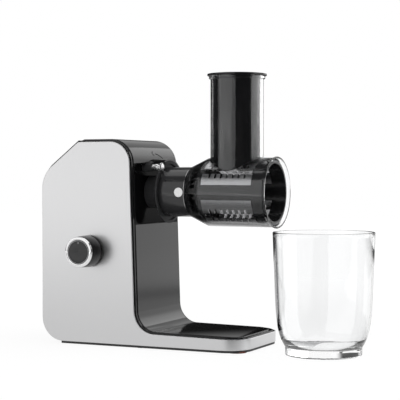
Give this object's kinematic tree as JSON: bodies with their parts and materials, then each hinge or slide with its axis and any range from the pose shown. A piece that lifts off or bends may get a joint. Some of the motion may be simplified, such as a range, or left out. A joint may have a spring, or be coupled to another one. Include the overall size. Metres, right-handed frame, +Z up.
{
  "type": "electric vegetable slicer",
  "caption": "Upright gear motor with a flat base, a selector knob, a bayonet mount with release pin, and a clear slicing attachment with comb drum, chute and pusher, over a clear jug",
  "frame": {"origin": "on the table, under the middle of the base, in the middle plane of the body", "axes": "+X from the column to the tip of the base and the outlet of the drum, -Y towards the side with the knob, +Z up"},
  "size_m": [0.3982, 0.15, 0.3183],
  "materials": {
    "brushed_wrap": "satin",
    "black_gloss": "gloss",
    "black_matte": "matte",
    "foot_rubber": "matte",
    "screw_steel": "satin",
    "pin_chrome": "gloss",
    "spring_steel": "satin",
    "seal_rubber": "matte",
    "knob_black": "gloss",
    "knob_chrome": "gloss",
    "knob_dark": "satin",
    "shaft_steel": "satin",
    "switch_plastic": "matte",
    "cast_aluminium": "satin",
    "bearing_steel": "satin",
    "bush_brass": "satin",
    "can_steel": "satin",
    "magnet_ferrite": "matte",
    "brush_carbon": "matte",
    "rotor_steel": "satin",
    "commutator_brass": "satin",
    "fan_plastic": "matte",
    "gear_steel": "satin",
    "gear_nylon": "satin",
    "coupling_grey": "satin",
    "board_green": "satin",
    "board_dark": "satin",
    "lead_rubber": "satin",
    "hub_grey": "satin",
    "drum_black": "satin",
    "blade_steel": "satin",
    "collar_black": "satin",
    "dot_white": "gloss",
    "clear_plastic": "gloss",
    "pusher_black": "gloss",
    "jug_clear": "gloss"
  },
  "bodies": {
    "body": {"steel_wrap": "brushed_wrap", "front_casing": "black_gloss", "rear_cover": "black_gloss", "bottom_plate": "black_matte", "foot_front_near": "foot_rubber", "foot_front_far": "foot_rubber", "foot_rear_near": "foot_rubber", "foot_rear_far": "foot_rubber", "mount_flange": "black_gloss", "flange_screws": "screw_steel", "pin_spring": "spring_steel", "shaft_seal": "seal_rubber", "knob_bezel": "black_gloss", "selector_switch": "switch_plastic", "gearbox_rear": "cast_aluminium", "gearbox_front": "cast_aluminium", "gearbox_screws": "screw_steel", "output_bearings": "bearing_steel", "idler_bushes": "bush_brass", "motor_can": "can_steel", "motor_front_bell": "cast_aluminium", "motor_rear_bell": "cast_aluminium", "motor_magnets": "magnet_ferrite", "motor_brushes": "brush_carbon", "motor_cradle": "black_matte", "control_board": "board_green", "board_parts": "board_dark", "internal_leads": "lead_rubber", "cord_gland": "black_matte", "casing_screws": "screw_steel"},
    "release_pin_body": {"release_pin": "pin_chrome"},
    "knob": {"knob_body": "knob_black", "knob_ring": "knob_chrome", "knob_face": "knob_dark", "switch_shaft": "shaft_steel"},
    "motor_rotor": {"motor_shaft": "shaft_steel", "rotor_core": "rotor_steel", "commutator": "commutator_brass", "motor_fan": "fan_plastic", "motor_pinion": "gear_steel"},
    "first_idler": {"first_wheel": "gear_nylon", "second_pinion": "gear_steel", "first_axle": "shaft_steel"},
    "second_idler": {"second_wheel": "gear_nylon", "third_pinion": "gear_steel", "second_axle": "shaft_steel"},
    "output_drive": {"output_wheel": "gear_steel", "output_shaft": "shaft_steel", "drive_coupling": "coupling_grey", "drum_hub": "hub_grey", "drum_body": "drum_black", "blade_pair_1": "blade_steel", "blade_pair_2": "blade_steel", "blade_pair_3": "blade_steel", "blade_pair_4": "blade_steel"},
    "attachment": {"bayonet_collar": "collar_black", "alignment_dot": "dot_white", "slicer_housing": "clear_plastic"},
    "pusher_body": {"pusher": "pusher_black"},
    "jug_body": {"jug": "jug_clear"}
  },
  "joints": [
    {"name": "motor_spin", "type": "hinge", "parent": "body", "child": "motor_rotor", "pos_m": [-0.09, 0.00015, 0.09983], "axis": [1, 0, 0], "continuous": true},
    {"name": "first_idler_spin", "type": "hinge", "parent": "body", "child": "first_idler", "pos_m": [-0.062, 0.02232, 0.1282], "axis": [1, 0, 0], "continuous": true},
    {"name": "second_idler_spin", "type": "hinge", "parent": "body", "child": "second_idler", "pos_m": [-0.05, -0.01391, 0.1379], "axis": [1, 0, 0], "continuous": true},
    {"name": "output_spin", "type": "hinge", "parent": "body", "child": "output_drive", "pos_m": [-0.044, 0, 0.1807], "axis": [1, 0, 0], "continuous": true},
    {"name": "knob_turn", "type": "hinge", "parent": "body", "child": "knob", "pos_m": [-0.0655, -0.062, 0.1115], "axis": [0, -1, 0], "range_deg": [-45, 45]},
    {"name": "attachment_twist", "type": "hinge", "parent": "body", "child": "attachment", "pos_m": [0.02, 0, 0.1807], "axis": [1, 0, 0], "range_deg": [-35, 0]},
    {"name": "pusher_slide", "type": "slide", "parent": "attachment", "child": "pusher_body", "axis": [0, 0, 1], "range_m": [0, 0.09]},
    {"name": "pin_press", "type": "slide", "parent": "body", "child": "release_pin_body", "axis": [-1, 0, 0], "range_m": [0, 0.004], "stiffness_N_per_m": 400, "deforming": ["pin_spring"]},
    {"name": "jug_lift", "type": "slide", "parent": "body", "child": "jug_body", "axis": [0, 0, 1], "range_m": [0, 0.2]}
  ],
  "couplings": [
    {"joint": "first_idler_spin", "follows": "motor_spin", "ratio": -0.2},
    {"joint": "second_idler_spin", "follows": "motor_spin", "ratio": 0.05},
    {"joint": "output_spin", "follows": "motor_spin", "ratio": -0.0125}
  ]
}
